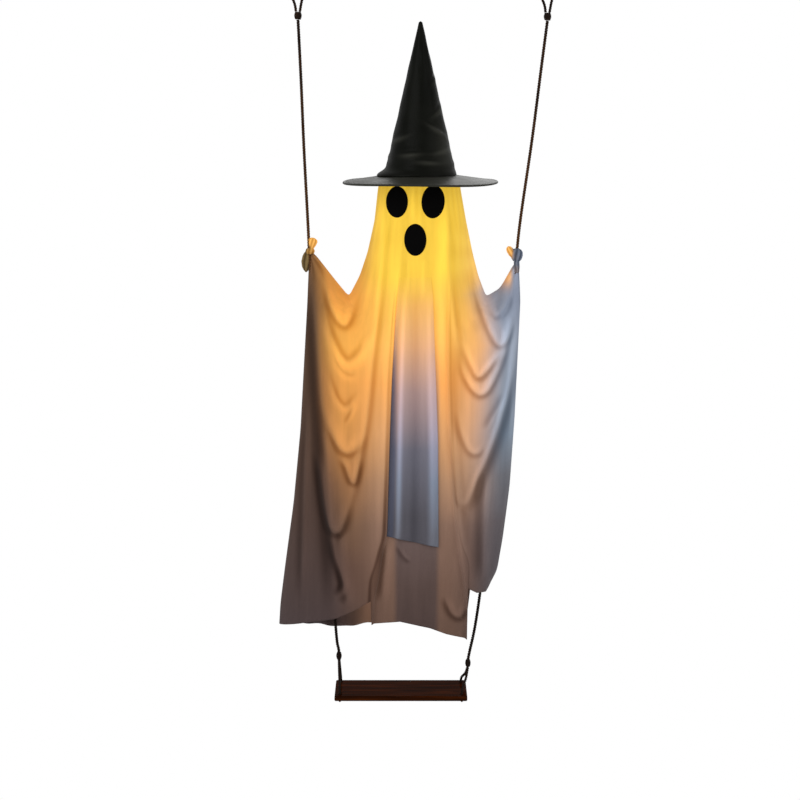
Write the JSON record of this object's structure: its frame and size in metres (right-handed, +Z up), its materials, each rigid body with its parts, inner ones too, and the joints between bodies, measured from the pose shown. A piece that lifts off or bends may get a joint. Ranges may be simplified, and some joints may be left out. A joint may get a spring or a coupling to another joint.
{
  "type": "hanging ghost decoration",
  "caption": "Hanging cloth ghost in a tall black pointed hat, lit from inside its head and tied by its hands to the two ropes of a small wooden swing",
  "frame": {"origin": "midway between the tops of the two rope eyes", "axes": "+Z up along the hanging height, front towards -Y, +X to the right as seen from the front"},
  "size_m": [0.6139, 0.343, 1.6441],
  "materials": {
    "black_satin": "satin",
    "black_felt": "matte",
    "pale_polyester_cloth": "matte",
    "grey_polyester_cloth": "matte",
    "twisted_jute": "matte",
    "varnished_wood": "gloss",
    "steel_wire": "satin",
    "white_plastic": "satin",
    "frosted_bulb": "matte"
  },
  "bodies": {
    "root": {"hat_crown": "black_satin", "hat_brim": "black_satin", "head_hoop": "steel_wire", "lamp_body": "white_plastic", "lamp_bulb": "frosted_bulb", "shroud_front": "pale_polyester_cloth", "shroud_back": "pale_polyester_cloth", "front_panel": "grey_polyester_cloth", "left_eye": "black_felt", "right_eye": "black_felt", "mouth": "black_felt", "hand_left": "pale_polyester_cloth", "hand_right": "pale_polyester_cloth", "rope_left": "twisted_jute", "rope_right": "twisted_jute", "eye_knot_left": "twisted_jute", "eye_knot_right": "twisted_jute", "eye_left": "twisted_jute", "eye_right": "twisted_jute", "sling_knot_left": "twisted_jute", "sling_knot_right": "twisted_jute", "sling_left": "twisted_jute", "sling_right": "twisted_jute", "swing_seat": "varnished_wood"}
  },
  "joints": []
}
